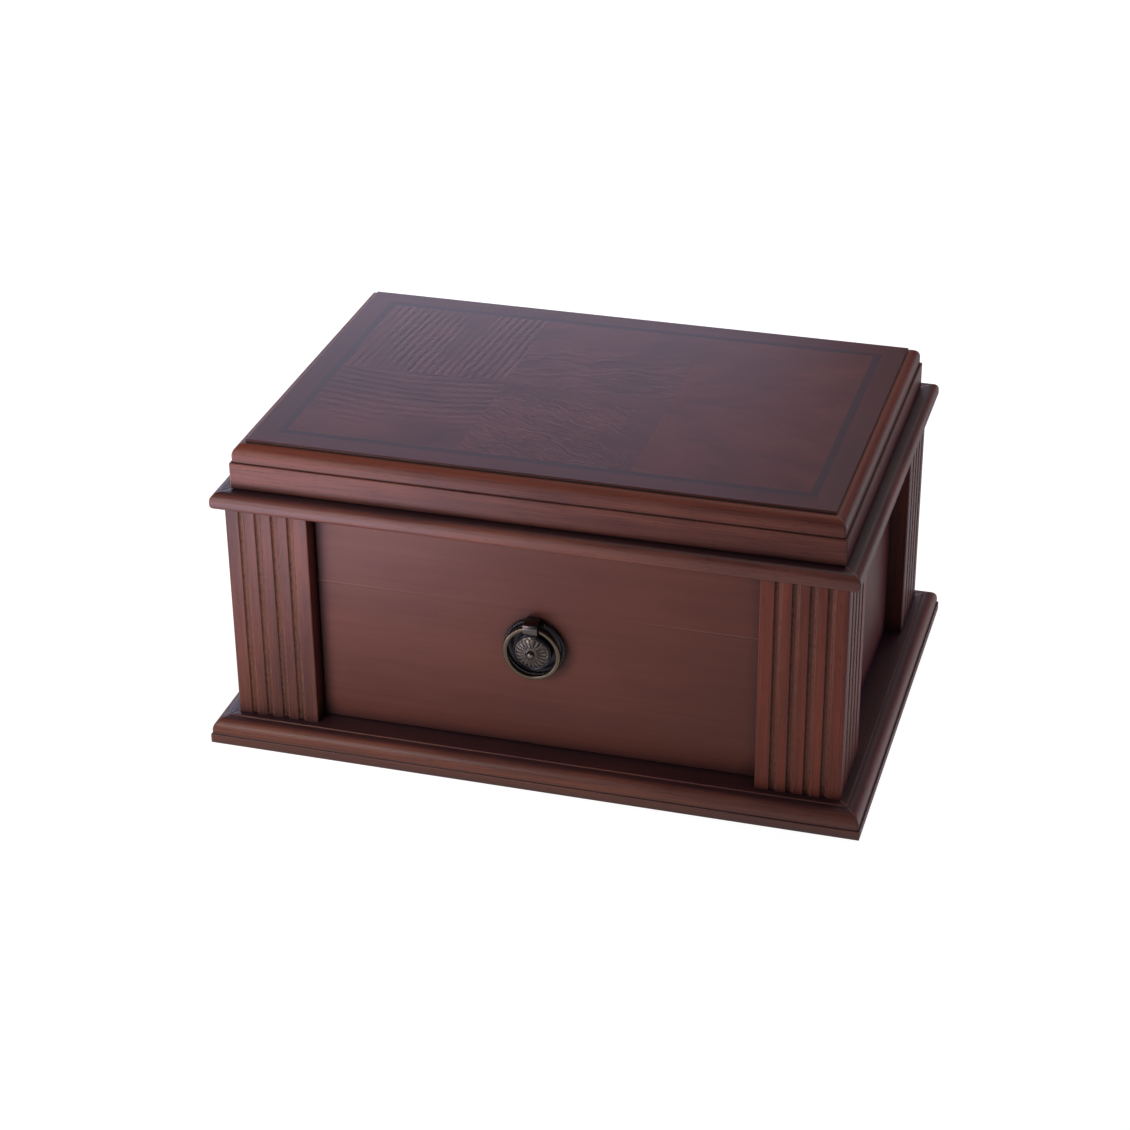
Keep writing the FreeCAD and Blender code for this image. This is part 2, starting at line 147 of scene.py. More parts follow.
def stained_wood(name, axis, stains, pores, rub_and_highlight, sheen, lay=None, extra=None):
    """A stained wood; lay turns its grain, and extra marks the stain.

    An extra mark is called with (tree, place, stain, fibre) and gives back the marked stain.
    """
    material, tree, place = new_finish(name)
    dull = VENEER_DULLNESS if lay else WOOD_DULLNESS
    if lay:
        place = lay(tree, place)
    fibre = grain(tree, place, with_grain(axis, *FIBRE), 3)
    streak = grain(tree, place, with_grain(axis, *STREAK), 2)
    cloud = grain(tree, place, with_grain(axis, *CLOUD), 2)
    pore = grain(tree, place, with_grain(axis, *PORE), 1)
    deep, warm = (tone(code) for code in stains)
    figure = weigh(tree, (streak, 0.7), (fibre, 0.2 + 1.2 * pores), (cloud, 0.8))
    figure = add(tree, "MapRange", {VALUE: figure, FROM_LOW: 0.5 + 0.6 * pores, FROM_HIGH: 1.2 + 0.6 * pores},
                 **SOFT_STEP)
    stain = add(tree, "Mix", {SHARE: figure, UNDER: deep, OVER: warm}, MIXED, **COLOUR)
    dash = add(tree, "MapRange", {VALUE: pore, FROM_LOW: 0.6, FROM_HIGH: 0.75, TO_HIGH: pores}, **SOFT_STEP)
    stain = add(tree, "Mix", {SHARE: dash, UNDER: stain, OVER: tone(PORE_TONE)}, MIXED, **DARKEN)
    # Painted shade: darker in the corners between pieces, then in the quirks of the piece itself
    corners = add(tree, "AmbientOcclusion", {"Distance": CORNER_REACH * MM}, "AO", samples=SHADE_SAMPLES)
    quirks = add(tree, "AmbientOcclusion", {"Distance": QUIRK_REACH * MM}, "AO", samples=SHADE_SAMPLES,
                 only_local=True)
    for open_sky, clear, most in ((corners, 0.95, 0.8), (quirks, 0.8, 0.5)):
        corner_shade = add(tree, "MapRange", {VALUE: open_sky, FROM_LOW: 0.35, FROM_HIGH: clear, TO_LOW: most,
                                       TO_HIGH: 0.0}, **SOFT_STEP)
        stain = add(tree, "Mix", {SHARE: corner_shade, UNDER: stain, OVER: tone(CORNER_SHADE_TONE)}, MIXED, **COLOUR)
    if extra:
        stain = extra(tree, place, stain, fibre)
    relief = weigh(tree, (fibre, 1.0), (dash, -1.0))
    surface = {"Strength": 0.12, "Distance": WOOD_RELIEF * MM, "Height": relief}
    # Lighter wood rubbed through on the arrises, which also paints highlight lines along them
    if rub_and_highlight:
        rounded = add(tree, "Bevel", {"Radius": ARRIS_RADIUS * MM}, samples=SHADE_SAMPLES)
        facing = add(tree, "NewGeometry", {}, "Normal")
        flat = add(tree, "VectorMath", {0: rounded, 1: facing}, "Value", operation="DOT_PRODUCT")
        arris = add(tree, "MapRange", {VALUE: flat, FROM_LOW: 0.78, FROM_HIGH: 0.97, TO_LOW: rub_and_highlight,
                                       TO_HIGH: 0.0}, **SOFT_STEP)
        proud = add(tree, "MapRange", {VALUE: quirks, FROM_LOW: 0.75, FROM_HIGH: 0.92,
                                       TO_HIGH: weigh(tree, (streak, 2.0))}, **SOFT_STEP)
        rubbed_and_highlight = add(tree, "Math", {0: arris, 1: proud}, operation="MULTIPLY")
        stain = add(tree, "Mix", {SHARE: rubbed_and_highlight, UNDER: stain, OVER: tone(RUBBED_AND_HIGHLIGHT_TONE)}, MIXED, **COLOUR)
        surface["Normal"] = rounded
    bump = add(tree, "Bump", surface)
    gloss = add(tree, "MapRange", {VALUE: fibre, FROM_LOW: 0.3, FROM_HIGH: 0.7,
                                   TO_LOW: dull - DULLNESS_CHANGE, TO_HIGH: dull + DULLNESS_CHANGE})
    finish_with(tree, {"Base Color": stain, "Roughness": gloss, "Normal": bump,
                       "Specular IOR Level": satin(tree, WOOD_FADE, sheen)})
    return material


# In the flutes the stain lies thin and mottled over raw tan wood
FLUTE_DEPTH, FLUTE_LIP, FLUTE_FULL, FLUTE_MOTTLE, FLUTE_TONE = 2.0, 0.2, 0.5, (2.6, 1.6), "#8C5E47"
POST_FACES = (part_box("corner_post_front_right")[1].x, -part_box("corner_post_front_right")[0].y)


def flute_rub(tree, place, stain, fibre):
    across = add(tree, "SeparateXYZ", {0: place}).node.outputs
    depth = []
    for axis in (0, 1):
        out = add(tree, "Math", {0: across[axis]}, operation="ABSOLUTE")
        depth.append(add(tree, "Math", {0: POST_FACES[axis], 1: out}, operation="SUBTRACT"))
    depth = add(tree, "Math", {0: depth[0], 1: depth[1]}, operation="MINIMUM")
    mottle = grain(tree, place, with_grain("Z", *FLUTE_MOTTLE), 2)
    mottle = add(tree, "MapRange", {VALUE: mottle, FROM_LOW: 0.35, FROM_HIGH: 0.6, TO_LOW: 0.25,
                                    TO_HIGH: 0.8}, **SOFT_STEP)
    inside = add(tree, "MapRange", {VALUE: depth, FROM_LOW: FLUTE_LIP * MM, FROM_HIGH: FLUTE_FULL * MM,
                                    TO_HIGH: mottle}, **SOFT_STEP)
    # Only the curved walls of the flutes, not the flat sides of the post behind them
    outside = add(tree, "Math", {0: depth, 1: 1.1 * FLUTE_DEPTH * MM}, operation="LESS_THAN")
    facing = add(tree, "VectorMath", {0: add(tree, "NewGeometry", {}, "Normal")}, operation="ABSOLUTE")
    facing = add(tree, "SeparateXYZ", {0: facing}).node.outputs
    square_on = add(tree, "Math", {0: facing["X"], 1: facing["Y"]}, operation="MAXIMUM")
    wall = add(tree, "MapRange", {VALUE: square_on, FROM_LOW: 0.9, FROM_HIGH: 1.0, TO_LOW: outside,
                                  TO_HIGH: 0.0})
    share = add(tree, "Math", {0: inside, 1: wall}, operation="MULTIPLY")
    return add(tree, "Mix", {SHARE: share, UNDER: stain, OVER: tone(FLUTE_TONE)}, MIXED, **COLOUR)


# Along the top of the lid rails the stain is rubbed thin, orange wood that also paints a highlight there
RAIL_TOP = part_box("lid_rail_front")[1].z
THIN_FROM, THIN_FULL, THIN_STAIN_AND_HIGHLIGHT_TONE = 3.4, 0.8, "#8C4634"


def thin_stain_and_highlight(tree, place, stain, fibre):
    height = add(tree, "SeparateXYZ", {0: place}, "Z")
    share = add(tree, "MapRange", {VALUE: height, FROM_LOW: RAIL_TOP - THIN_FROM * MM,
                                   FROM_HIGH: RAIL_TOP - THIN_FULL * MM,
                                   TO_HIGH: weigh(tree, (fibre, 1.1))}, **SOFT_STEP)
    return add(tree, "Mix", {SHARE: share, UNDER: stain, OVER: tone(THIN_STAIN_AND_HIGHLIGHT_TONE)}, MIXED, **COLOUR)


# Painted shade with a cool painted reflection darkens the flat ledges of the mouldings that face up
LEDGE_SHADE_SHARE, LEDGE_SHADE_TONE = 0.75, "#34222A"


def ledge_painted_shade(tree, place, stain, fibre):
    up = add(tree, "SeparateXYZ", {0: add(tree, "NewGeometry", {}, "Normal")}, "Z")
    share = add(tree, "MapRange", {VALUE: up, FROM_LOW: 0.75, FROM_HIGH: 1.0, TO_HIGH: LEDGE_SHADE_SHARE},
                **SOFT_STEP)
    return add(tree, "Mix", {SHARE: share, UNDER: stain, OVER: tone(LEDGE_SHADE_TONE)}, MIXED, **COLOUR)


# The drawer front is glued up from two boards: towards its ends the joint shows as a pale line with a faint
# shadow under it
SEAM_LINES = ((118.4, "#8C6054"), (117.5, "#4C2C26"))
SEAM_HALF, SEAM_FROM, SEAM_FULL = 0.4, 40, 130


def board_seam(tree, place, stain, fibre):
    along = add(tree, "SeparateXYZ", {0: place}).node.outputs
    out = add(tree, "Math", {0: along["X"]}, operation="ABSOLUTE")
    shown = add(tree, "MapRange", {VALUE: out, FROM_LOW: SEAM_FROM * MM, FROM_HIGH: SEAM_FULL * MM,
                                   TO_HIGH: fibre}, **SOFT_STEP)
    for height, code in SEAM_LINES:
        close = add(tree, "Math", {0: along["Z"], 1: height * MM, 2: SEAM_HALF * MM}, operation="COMPARE")
        share = add(tree, "Math", {0: close, 1: shown}, operation="MULTIPLY")
        stain = add(tree, "Mix", {SHARE: share, UNDER: stain, OVER: tone(code)}, MIXED, **COLOUR)
    return stain


# Border veneer and inlay strip are laid with their grain along each edge of the lid and meet in mitres
def mitred(tree, place):
    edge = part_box("border_veneer")[1]
    along = add(tree, "SeparateXYZ", {0: place}).node.outputs
    reach = []
    for axis in (0, 1):
        out = add(tree, "Math", {0: along[axis]}, operation="ABSOLUTE")
        reach.append(add(tree, "Math", {0: edge[axis], 1: out}, operation="SUBTRACT"))
    at_side = add(tree, "Math", {0: reach[0], 1: reach[1]}, operation="LESS_THAN")
    crossed = add(tree, "CombineXYZ", {0: along[1], 1: along[0], 2: along[2]})
    return add(tree, "Mix", {SHARE: at_side, FIRST_PLACE: place, OTHER_PLACE: crossed}, MIXED_PLACE,
               data_type="VECTOR")


# Figured veneer, wire brushed before staining so that its soft early wood lies in ripples, then lacquered:
# dark dotted pores in the troughs, a cool sheen and slow changes between red and purple brown
VENEER_SHEEN, TROUGH_TONE = 0.13, "#5C4444"
VENEER_FIBRE, VENEER_PATCH, VENEER_CLOUD, VENEER_PORE = (22, 0.9), (70, 45), (50, 28), (4.5, 2.0)
CURL_WIDTH = 0.55


def figured_veneer(name, node, turn, spacing, bow, wander, curl, ripple, reach, stains):
    """A sheet whose grain is turned by so many degrees.

    Its ripples have a spacing, bow with the square of the way along, wander by so many spacings round curls
    of a size, and are so deep; reach says how much more they show with each mm across the grain.
    """
    material, tree, place = new_finish(name)
    low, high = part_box(node)
    at = add(tree, "Mapping", {"Vector": place, "Location": (low + high) / 2,
                               "Rotation": (0, 0, math.radians(turn))}, vector_type="TEXTURE")
    along = add(tree, "SeparateXYZ", {0: at}).node.outputs
    drift = grain(tree, at, with_grain("X", curl, CURL_WIDTH * curl), 3)
    square = add(tree, "Math", {0: along["X"], 1: 2.0}, operation="POWER")
    phase = weigh(tree, (along["Y"], math.tau / (spacing * MM)), (square, math.tau * bow / MM ** 2),
                  (drift, math.tau * wander))
    wave = add(tree, "Math", {0: phase}, operation="SINE")
    patch = grain(tree, at, with_grain("X", *VENEER_PATCH), 2)
    shown = weigh(tree, (patch, 1.0), (along["Y"], reach / MM))
    shown = add(tree, "MapRange", {VALUE: shown, FROM_LOW: 0.32, FROM_HIGH: 0.52, TO_HIGH: ripple},
                **SOFT_STEP)
    wave = add(tree, "Math", {0: wave, 1: shown}, operation="MULTIPLY")
    fibre = grain(tree, at, with_grain("X", *VENEER_FIBRE), 3)
    cloud = grain(tree, at, with_grain("X", *VENEER_CLOUD), 3)
    deep, warm = (tone(code) for code in stains)
    figure = weigh(tree, (cloud, 0.9), (fibre, 0.35), (patch, 0.4), (wave, 0.22))
    figure = add(tree, "MapRange", {VALUE: figure, FROM_LOW: 0.55, FROM_HIGH: 1.1}, **SOFT_STEP)
    stain = add(tree, "Mix", {SHARE: figure, UNDER: deep, OVER: warm}, MIXED, **COLOUR)
    trough = add(tree, "MapRange", {VALUE: wave, FROM_LOW: -0.95, FROM_HIGH: -0.35, TO_LOW: 1.0,
                                    TO_HIGH: 0.0})
    pore = grain(tree, at, with_grain("X", *VENEER_PORE), 1)
    pore = add(tree, "MapRange", {VALUE: pore, FROM_LOW: 0.46, FROM_HIGH: 0.6})
    dots = add(tree, "Math", {0: trough, 1: pore}, operation="MULTIPLY")
    stain = add(tree, "Mix", {SHARE: dots, UNDER: stain, OVER: tone(TROUGH_TONE)}, MIXED, **DARKEN)
    broken = add(tree, "MapRange", {VALUE: pore, TO_LOW: 0.3, TO_HIGH: 1.4})
    crinkle = add(tree, "Math", {0: wave, 1: broken}, operation="MULTIPLY")
    relief = weigh(tree, (crinkle, 1.0), (fibre, 0.25), (cloud, 0.5), (dots, -0.5))
    bump = add(tree, "Bump", {"Strength": 0.3, "Distance": VENEER_RELIEF * MM, "Height": relief})
    finish_with(tree, {"Base Color": stain, "Roughness": VENEER_DULLNESS, "Normal": bump,
                       "Specular IOR Level": satin(tree, VENEER_FADE, VENEER_SHEEN)})
    return material


# Plain sealed softwood of the inside: pale, with long soft streaks and a dry surface
INNER_RINGS, INNER_FIBRE = (260, 5), (30, 0.8)


def inner_wood(name, axis, stains):
    material, tree, place = new_finish(name)
    ring_lines = grain(tree, place, with_grain(axis, *INNER_RINGS), 2)
    fibre = grain(tree, place, with_grain(axis, *INNER_FIBRE), 3)
    deep, warm = (tone(code) for code in stains)
    figure = weigh(tree, (ring_lines, 1.0), (fibre, 0.5))
    figure = add(tree, "MapRange", {VALUE: figure, FROM_LOW: 0.55, FROM_HIGH: 0.95}, **SOFT_STEP)
    wood = add(tree, "Mix", {SHARE: figure, UNDER: deep, OVER: warm}, MIXED, **COLOUR)
    bump = add(tree, "Bump", {"Strength": 0.2, "Distance": WOOD_RELIEF * MM, "Height": fibre})
    finish_with(tree, {"Base Color": wood, "Roughness": 0.62, "Specular IOR Level": 0.3, "Normal": bump})
    return material


# Pressed wool felt: a matt wine red with a cloudy nap and fine fuzz
FELT_SHADE, FELT_LIGHT, FELT_NAP, FELT_RELIEF = "#3E0F18", "#5E1C26", 28, 0.3
# Real fibres are finer than this and would not show
FELT_FUZZ = 0.9


def pressed_felt(name):
    material, tree, place = new_finish(name)
    nap = grain(tree, place, [FELT_NAP] * 3, 3)
    fuzz = grain(tree, place, [FELT_FUZZ] * 3, 2)
    shade = weigh(tree, (nap, 0.6), (fuzz, 0.6))
    shade = add(tree, "MapRange", {VALUE: shade, FROM_LOW: 0.4, FROM_HIGH: 0.8})
    wool = add(tree, "Mix", {SHARE: shade, UNDER: tone(FELT_SHADE), OVER: tone(FELT_LIGHT)}, MIXED, **COLOUR)
    bump = add(tree, "Bump", {"Strength": 0.5, "Distance": FELT_RELIEF * MM, "Height": fuzz})
    finish_with(tree, {"Base Color": wool, "Roughness": 0.95, "Specular IOR Level": 0.1, "Sheen Weight": 0.35,
                       "Sheen Roughness": 0.5, "Normal": bump})
    return material


# The ring pull, made in mm round the middle of its backplate: x to the right, y up, z out from the drawer
# front
plate_low, plate_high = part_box("pull_backplate")
PULL = Matrix.Translation(((plate_low.x + plate_high.x) / 2, plate_high.y, (plate_low.z + plate_high.z) / 2))
PULL = PULL @ Matrix.Rotation(math.pi / 2, 4, "X") @ Matrix.Scale(MM, 4)
OUTWARD = (0, 0, 1)

# Cast brass with an antique patina: brown-black in the hollows, olive bronze on the faces and pale rubbed
# metal along the ridges that a hand touches, which also paints glints on them
HOLLOW_TONE, RIDGE_WEAR_AND_GLINT_TONE, RIM_TONE = "#141214", "#B5A68A", "#26242A"
HOLLOW_REACH, BRASS_MOTTLE, METAL_RELIEF = 2.5, 3, 0.1
CROWN_OUT, CROWN_FADE = 9, 0.5


def antique_brass(name, face, rub_and_highlight, crown=None):
    """An antique brass; outside the radius of a crown it has a dull dark rim."""
    material, tree, place = new_finish(name)
    mottle = grain(tree, place, [BRASS_MOTTLE] * 3, 3)
    open_sky = add(tree, "AmbientOcclusion", {"Distance": HOLLOW_REACH * MM}, "AO", samples=SHADE_SAMPLES)
    patina = weigh(tree, (open_sky, 1.0), (mottle, 0.5))
    patina = add(tree, "MapRange", {VALUE: patina, FROM_LOW: 0.65, FROM_HIGH: 1.2}, **SOFT_STEP)
    metal = add(tree, "Mix", {SHARE: patina, UNDER: tone(HOLLOW_TONE), OVER: tone(face)}, MIXED, **COLOUR)
    ridge = weigh(tree, (add(tree, "NewGeometry", {}, "Pointiness"), 1.0), (mottle, 0.04))
    ridge = add(tree, "MapRange", {VALUE: ridge, FROM_LOW: 0.56, FROM_HIGH: 0.66, TO_HIGH: rub_and_highlight}, **SOFT_STEP)
    metal = add(tree, "Mix", {SHARE: ridge, UNDER: metal, OVER: tone(RIDGE_WEAR_AND_GLINT_TONE)}, MIXED, **COLOUR)
    if crown:
        middle = PULL @ Vector((0, 0, CROWN_OUT))
        out = add(tree, "VectorMath", {0: place, 1: middle}, "Value", operation="DISTANCE")
        dull = add(tree, "MapRange", {VALUE: out, FROM_LOW: crown * MM, FROM_HIGH: (crown + CROWN_FADE) * MM})
        metal = add(tree, "Mix", {SHARE: dull, UNDER: metal, OVER: tone(RIM_TONE)}, MIXED, **COLOUR)
    gloss = add(tree, "MapRange", {VALUE: patina, TO_LOW: 0.55, TO_HIGH: 0.26})
    bump = add(tree, "Bump", {"Strength": 0.15, "Distance": METAL_RELIEF * MM, "Height": mottle})
    finish_with(tree, {"Base Color": metal, "Metallic": 0.9, "Roughness": gloss, "Normal": bump})
    return material


# Rolled and polished metal of hinges and screws: a clean tone with brushed lines and dull fingered patches
BRUSH_LINES, FINGER_PATCH = (20, 0.6), 9


def rolled_metal(name, dull, bright, axis):
    material, tree, place = new_finish(name)
    brushed = grain(tree, place, with_grain(axis, *BRUSH_LINES), 2)
    patch = grain(tree, place, [FINGER_PATCH] * 3, 2)
    share = weigh(tree, (brushed, 0.5), (patch, 0.7))
    share = add(tree, "MapRange", {VALUE: share, FROM_LOW: 0.4, FROM_HIGH: 0.8}, **SOFT_STEP)
    metal = add(tree, "Mix", {SHARE: share, UNDER: tone(dull), OVER: tone(bright)}, MIXED, **COLOUR)
    gloss = add(tree, "MapRange", {VALUE: share, TO_LOW: 0.45, TO_HIGH: 0.28})
    bump = add(tree, "Bump", {"Strength": 0.1, "Distance": METAL_RELIEF * MM, "Height": brushed})
    finish_with(tree, {"Base Color": metal, "Metallic": 1.0, "Roughness": gloss, "Normal": bump})
    return material


# Profiles are (radius, height out from the drawer front), the strap's path is (up from the ring's wire, out
# from the drawer front)
PLATE_PROFILE = [(0, 0), (20.3, 0), (20.5, 0.25), (20.3, 0.9), (17.6, 1.2), (13.4, 1.0), (10, 1.2), (0, 1.2)]
PLATE_STEPS = 96
ROPE_RADIUS, ROPE_HEIGHT, ROPE_THICKNESS = 19.1, 1.4, 1.25
ROPE_STRANDS, ROPE_STEPS, ROPE_SIDES, ROPE_CUT, ROPE_LEAN = 60, 480, 14, 0.2, 4
CONE_FOOT, CONE_TOP = (10.6, 8.3), (2.7, 10.5)
ROSETTE_PROFILE = [
    (0, 1.2), (9.5, 1.2), (10.6, 2.0), (12.0, 4.2), (12.6, 5.8), (12.7, 7.2), (12.5, 8.1), (12.0, 8.4),
    (11.5, 8.2), (11.1, 7.9), CONE_FOOT, CONE_TOP, (2.4, 11.1), (2.2, 11.8), (1.8, 12.5), (1.2, 12.9),
    (0, 13.0)]
ROSETTE_STEPS = 120
PETALS, PETAL_SIDES, PETAL_OUTER, PETAL_INNER, PETAL_WIDE, PETAL_NARROW = 20, 18, 9.3, 3.9, 1.4, 0.42
PETAL_SINK, PETAL_RISE, PETAL_RIM, PETAL_SLOT, PETAL_SLOPE = 0.2, 0.8, 0.36, 0.9, 0.08
PETAL_EDGE, PETAL_EDGE_ANGLE, PETAL_SPLIT = 0.12, 0.8, -0.01
LOOP_UP, LOOP_OUT = 16.95, 8.0
STRAP_WIDTH, STRAP_THICKNESS, STRAP_EDGE = 9.6, 1.3, 0.3
STRAP_PATH = [
    (3.9, 0.8), (4.3, 3.0), (4.5, 5.5), (4.5, 8.0), (4.3, 9.6), (3.6, 10.8), (2.4, 11.4), (0.6, 11.5),
    (-1.2, 11.2), (-2.5, 10.4), (-3.2, 9.2), (-3.3, 7.8), (-2.9, 6.4), (-1.9, 5.4)]
RING_RADIUS, RING_SECTION, RING_SQUARENESS, RING_SIDES, RING_STEPS = 17.45, 1.5, 3.4, 20, 120
LINING_CELLS, LINING_EDGE = (30, 20), 0.25
SHARP = math.radians(40)
WELD = 0.001


def new_piece(bm, name, body, finish, node, place=PULL):
    """Makes a piece that stands for a CAD node and moves with a body."""
    bmesh.ops.recalc_face_normals(bm, faces=bm.faces)
    bmesh.ops.transform(bm, matrix=place, verts=bm.verts)
    mesh = bpy.data.meshes.new(name)
    bm.to_mesh(mesh)
    bm.free()
    mesh.shade_smooth()
    mesh.set_sharp_from_angle(angle=SHARP)
    mesh.materials.append(finish)
    piece = bpy.data.objects.new(name, mesh)
    bpy.context.scene.collection.objects.link(piece)
    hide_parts(node)
    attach(piece, body)
    return piece


def wall_and_edge(piece, wall_name, thickness, offset, edge_name, width, segments):
    """Gives a sheet its thickness and softens its edges."""
    wall = piece.modifiers.new(wall_name, "SOLIDIFY")
    wall.thickness = thickness
    wall.offset = offset
    soften = piece.modifiers.new(edge_name, "BEVEL")
    soften.width = width
    soften.segments = segments


def turned(bm, profile, steps):
    """Spins a profile of (radius, height) round the middle of the pull."""
    verts = [bm.verts.new((radius, 0, height)) for radius, height in profile]
    edges = [bm.edges.new(pair) for pair in zip(verts, verts[1:])]
    bmesh.ops.spin(bm, geom=verts + edges, cent=(0, 0, 0), axis=OUTWARD, angle=math.tau, steps=steps,
                   use_merge=True)
    bmesh.ops.remove_doubles(bm, verts=bm.verts, dist=WELD)


def spun_section(bm, section, centre, steps):
    """Spins a closed section round an axis that points out from the drawer front."""
    edges = list(dict.fromkeys(edge for vert in section for edge in vert.link_edges))
    bmesh.ops.spin(bm, geom=section + edges, cent=centre, axis=OUTWARD, angle=math.tau, steps=steps,
                   use_merge=True)


def only(kind, geometry):
    """The vertices, edges or faces of what an operator gives back."""
    return [g for g in geometry if isinstance(g, kind)]


def make_backplate(finish):
    bm = bmesh.new()
    turned(bm, PLATE_PROFILE, PLATE_STEPS)
    flat = set(bm.verts)
    place = Matrix.Translation((ROPE_RADIUS, 0, ROPE_HEIGHT)) @ Matrix.Rotation(math.pi / 2, 4, "X")
    section = bmesh.ops.create_circle(bm, segments=ROPE_SIDES, radius=ROPE_THICKNESS, matrix=place)["verts"]
    spun_section(bm, section, (0, 0, 0), ROPE_STEPS)
    # Twisted strands: the tube is cut in along slanting lines
    for vert in set(bm.verts) - flat:
        out = Vector((vert.co.x, vert.co.y, 0))
        middle = out.normalized() * ROPE_RADIUS + Vector((0, 0, ROPE_HEIGHT))
        around = math.atan2(vert.co.z - ROPE_HEIGHT, out.length - ROPE_RADIUS)
        turn = ROPE_STRANDS * math.atan2(out.y, out.x) + ROPE_LEAN * around
        vert.co = middle + (vert.co - middle) * (1 - ROPE_CUT * (0.5 + 0.5 * math.cos(turn)))
    new_piece(bm, "rope_edged_backplate", "drawer", finish, "pull_backplate")


def make_rosette(finish):
    bm = bmesh.new()
    # One petal: a drop that is wide at the rim, lying on the cone, raised, with a sunk middle and soft edges
    verts = bmesh.ops.create_circle(bm, cap_ends=True, segments=PETAL_SIDES, radius=PETAL_WIDE)["verts"]
    cone = (CONE_TOP[1] - CONE_FOOT[1]) / (CONE_TOP[0] - CONE_FOOT[0])
    for vert in verts:
        # The inner half of the circle becomes the narrow end
        if vert.co.x < PETAL_SPLIT:
            vert.co = vert.co * PETAL_NARROW / PETAL_WIDE - Vector((PETAL_OUTER - PETAL_INNER, 0, 0))
        vert.co.x += PETAL_OUTER
        vert.co.z = CONE_FOOT[1] + cone * (vert.co.x - CONE_FOOT[0]) - PETAL_SINK
    raised = bmesh.ops.extrude_face_region(bm, geom=list(bm.faces))["geom"]
    bmesh.ops.translate(bm, verts=only(bmesh.types.BMVert, raised), vec=(0, 0, PETAL_RISE))
    top = only(bmesh.types.BMFace, raised)
    bmesh.ops.inset_individual(bm, faces=top, thickness=PETAL_RIM)
    bmesh.ops.inset_individual(bm, faces=top, thickness=PETAL_SLOPE, depth=-PETAL_SLOT)
    rims = [e for e in bm.edges if e.is_manifold and e.is_convex and e.calc_face_angle() > PETAL_EDGE_ANGLE]
    bmesh.ops.bevel(bm, geom=rims, offset=PETAL_EDGE, segments=2, profile=0.5, affect="EDGES", material=-1)
    bmesh.ops.spin(bm, geom=bm.verts[:] + bm.edges[:] + bm.faces[:], cent=(0, 0, 0), axis=OUTWARD,
                   angle=math.tau * (PETALS - 1) / PETALS, steps=PETALS - 1, use_duplicate=True)
    turned(bm, ROSETTE_PROFILE, ROSETTE_STEPS)
    new_piece(bm, "petalled_rosette", "drawer", finish, "pull_rosette")


def make_strap(finish):
    bm = bmesh.new()
    up, out = STRAP_PATH[0]
    ends = [bm.verts.new((x, LOOP_UP + up, out)) for x in (-STRAP_WIDTH / 2, STRAP_WIDTH / 2)]
    edge = bm.edges.new(ends)
    for (up, out), (next_up, next_out) in zip(STRAP_PATH, STRAP_PATH[1:]):
        drawn = bmesh.ops.extrude_edge_only(bm, edges=[edge])["geom"]
        bmesh.ops.translate(bm, verts=only(bmesh.types.BMVert, drawn), vec=(0, next_up - up, next_out - out))
        edge = only(bmesh.types.BMEdge, drawn)[0]
    piece = new_piece(bm, "ring_strap", "drawer", finish, "pull_strap")
    wall_and_edge(piece, wall_name="sheet_thickness", thickness=STRAP_THICKNESS * MM, offset=0,
                  edge_name="softened_edges", width=STRAP_EDGE * MM, segments=3)


def make_ring(finish):
    bm = bmesh.new()
    middle = LOOP_UP - RING_RADIUS
    section = bmesh.ops.create_circle(bm, segments=RING_SIDES, radius=1)["verts"]
    for vert in section:
        # A square wire with well rounded corners
        corner = abs(vert.co.x) ** RING_SQUARENESS + abs(vert.co.y) ** RING_SQUARENESS
        vert.co *= RING_SECTION / corner ** (1 / RING_SQUARENESS)
    place = Matrix.Translation((RING_RADIUS, middle, LOOP_OUT)) @ Matrix.Rotation(math.pi / 2, 4, "X")
    bmesh.ops.transform(bm, matrix=place, verts=section)
    spun_section(bm, section, (0, middle, 0), RING_STEPS)
    new_piece(bm, "swinging_ring", "ring", finish, "pull_ring")


def make_lining(node, name, body, finish):
    """A cut sheet of felt with soft edges, laid on a board."""
    low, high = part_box(node)
    size = high - low
    bm = bmesh.new()
    bmesh.ops.create_grid(bm, x_segments=LINING_CELLS[0], y_segments=LINING_CELLS[1], size=0.5)
    place = Matrix.Translation(((low.x + high.x) / 2, (low.y + high.y) / 2, high.z))
    place = place @ Matrix.Diagonal((size.x, size.y, 1, 1))
    piece = new_piece(bm, name, body, finish, node, place)
    wall_and_edge(piece, wall_name="felt_thickness", thickness=size.z, offset=-1,
                  edge_name="cut_edge", width=LINING_EDGE * size.z, segments=2)


def dress(finish, *nodes):
    """Gives CAD nodes their finish."""
    for node in nodes:
        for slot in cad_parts[node].material_slots:
            slot.material = finish


# Camera: the photograph's place, direction and lens
CAMERA_PLACE = (0.436153, -1.535344, 0.955002)
CAMERA_YAW, CAMERA_PITCH, CAMERA_ROLL = (math.radians(a) for a in (16.428, 28.604, -0.573))
FOCAL_PIXELS = 2707.878
PHOTO_PIXELS = 1130
SENSOR_WIDTH = 36.0


def make_camera():
    data = bpy.data.cameras.new("photo_camera")
    data.sensor_width = SENSOR_WIDTH
    data.lens = SENSOR_WIDTH * FOCAL_PIXELS / PHOTO_PIXELS
    camera = bpy.data.objects.new("photo_camera", data)
    turn = Matrix.Rotation(CAMERA_YAW, 4, "Z") @ Matrix.Rotation(math.pi / 2 - CAMERA_PITCH, 4, "X")
    camera.matrix_world = Matrix.Translation(CAMERA_PLACE) @ turn @ Matrix.Rotation(CAMERA_ROLL, 4, "Z")
    bpy.context.scene.collection.objects.link(camera)
    bpy.context.scene.camera = camera


# Studio, in metres: a white sweep of floor and dim grey walls, a soft box close at the front left with a card
# lying under it, a cool window behind on the left, a box overhead, a cool card low at the right and a weak
# fill from behind
FLOOR_HALF, FLOOR_TONE, FLOOR_GLOW, FLOOR_LIFT = 8.0, "#B9B8B6", "#FFFFFF", 0.92
WALL_LOW, WALL_HIGH, WALL_RISE = "#4C4C55", "#54555F", 0.6


